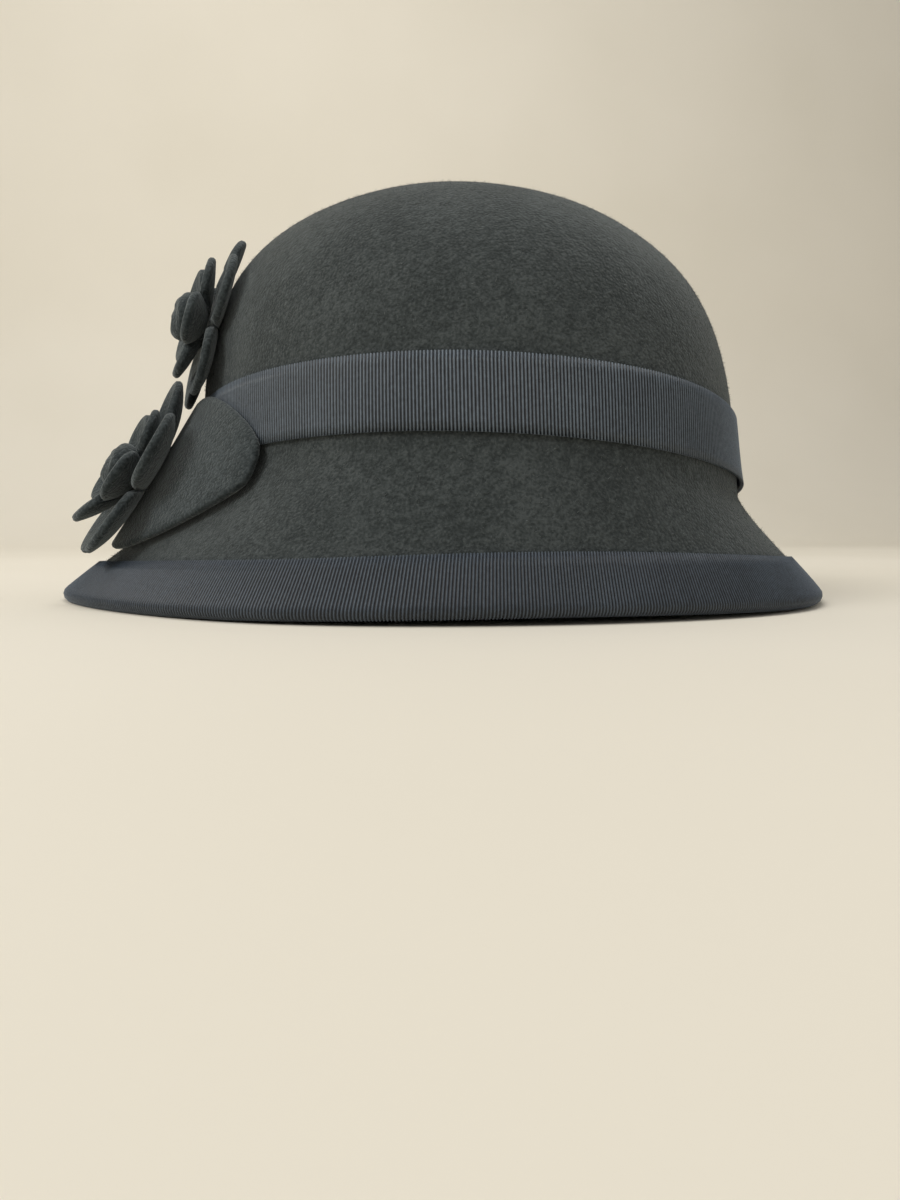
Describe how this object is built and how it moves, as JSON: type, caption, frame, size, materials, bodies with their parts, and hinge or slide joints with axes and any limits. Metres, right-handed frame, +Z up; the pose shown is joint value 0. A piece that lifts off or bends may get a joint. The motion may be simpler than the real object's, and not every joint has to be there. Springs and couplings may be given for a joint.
{
  "type": "cloche hat",
  "caption": "Bell-shaped felt hat with a rounded crown, a down-turned ribbon-bound brim, a ribbon band, and a side spray of felt flowers with a leaf.",
  "frame": {"origin": "centre of the brim's outline, on the surface that the hat rests on", "axes": "+Z up, the hat's front faces -Y, +X is the wearer's left, -X the flower side"},
  "size_m": [0.2498, 0.256, 0.1258],
  "materials": {
    "felt": "matt wool felt with a short nap",
    "ribbon": "ribbed grosgrain with a low sheen",
    "trim_felt": "matt cut felt"
  },
  "bodies": {
    "root": {"felt_hood": "felt", "hat_band": "ribbon", "brim_binding": "ribbon", "sweatband": "ribbon", "leaf": "trim_felt", "upper_flower_outer": "trim_felt", "upper_flower_inner": "trim_felt", "upper_flower_centre": "trim_felt", "lower_flower_outer": "trim_felt", "lower_flower_inner": "trim_felt", "lower_flower_centre": "trim_felt"}
  },
  "joints": []
}
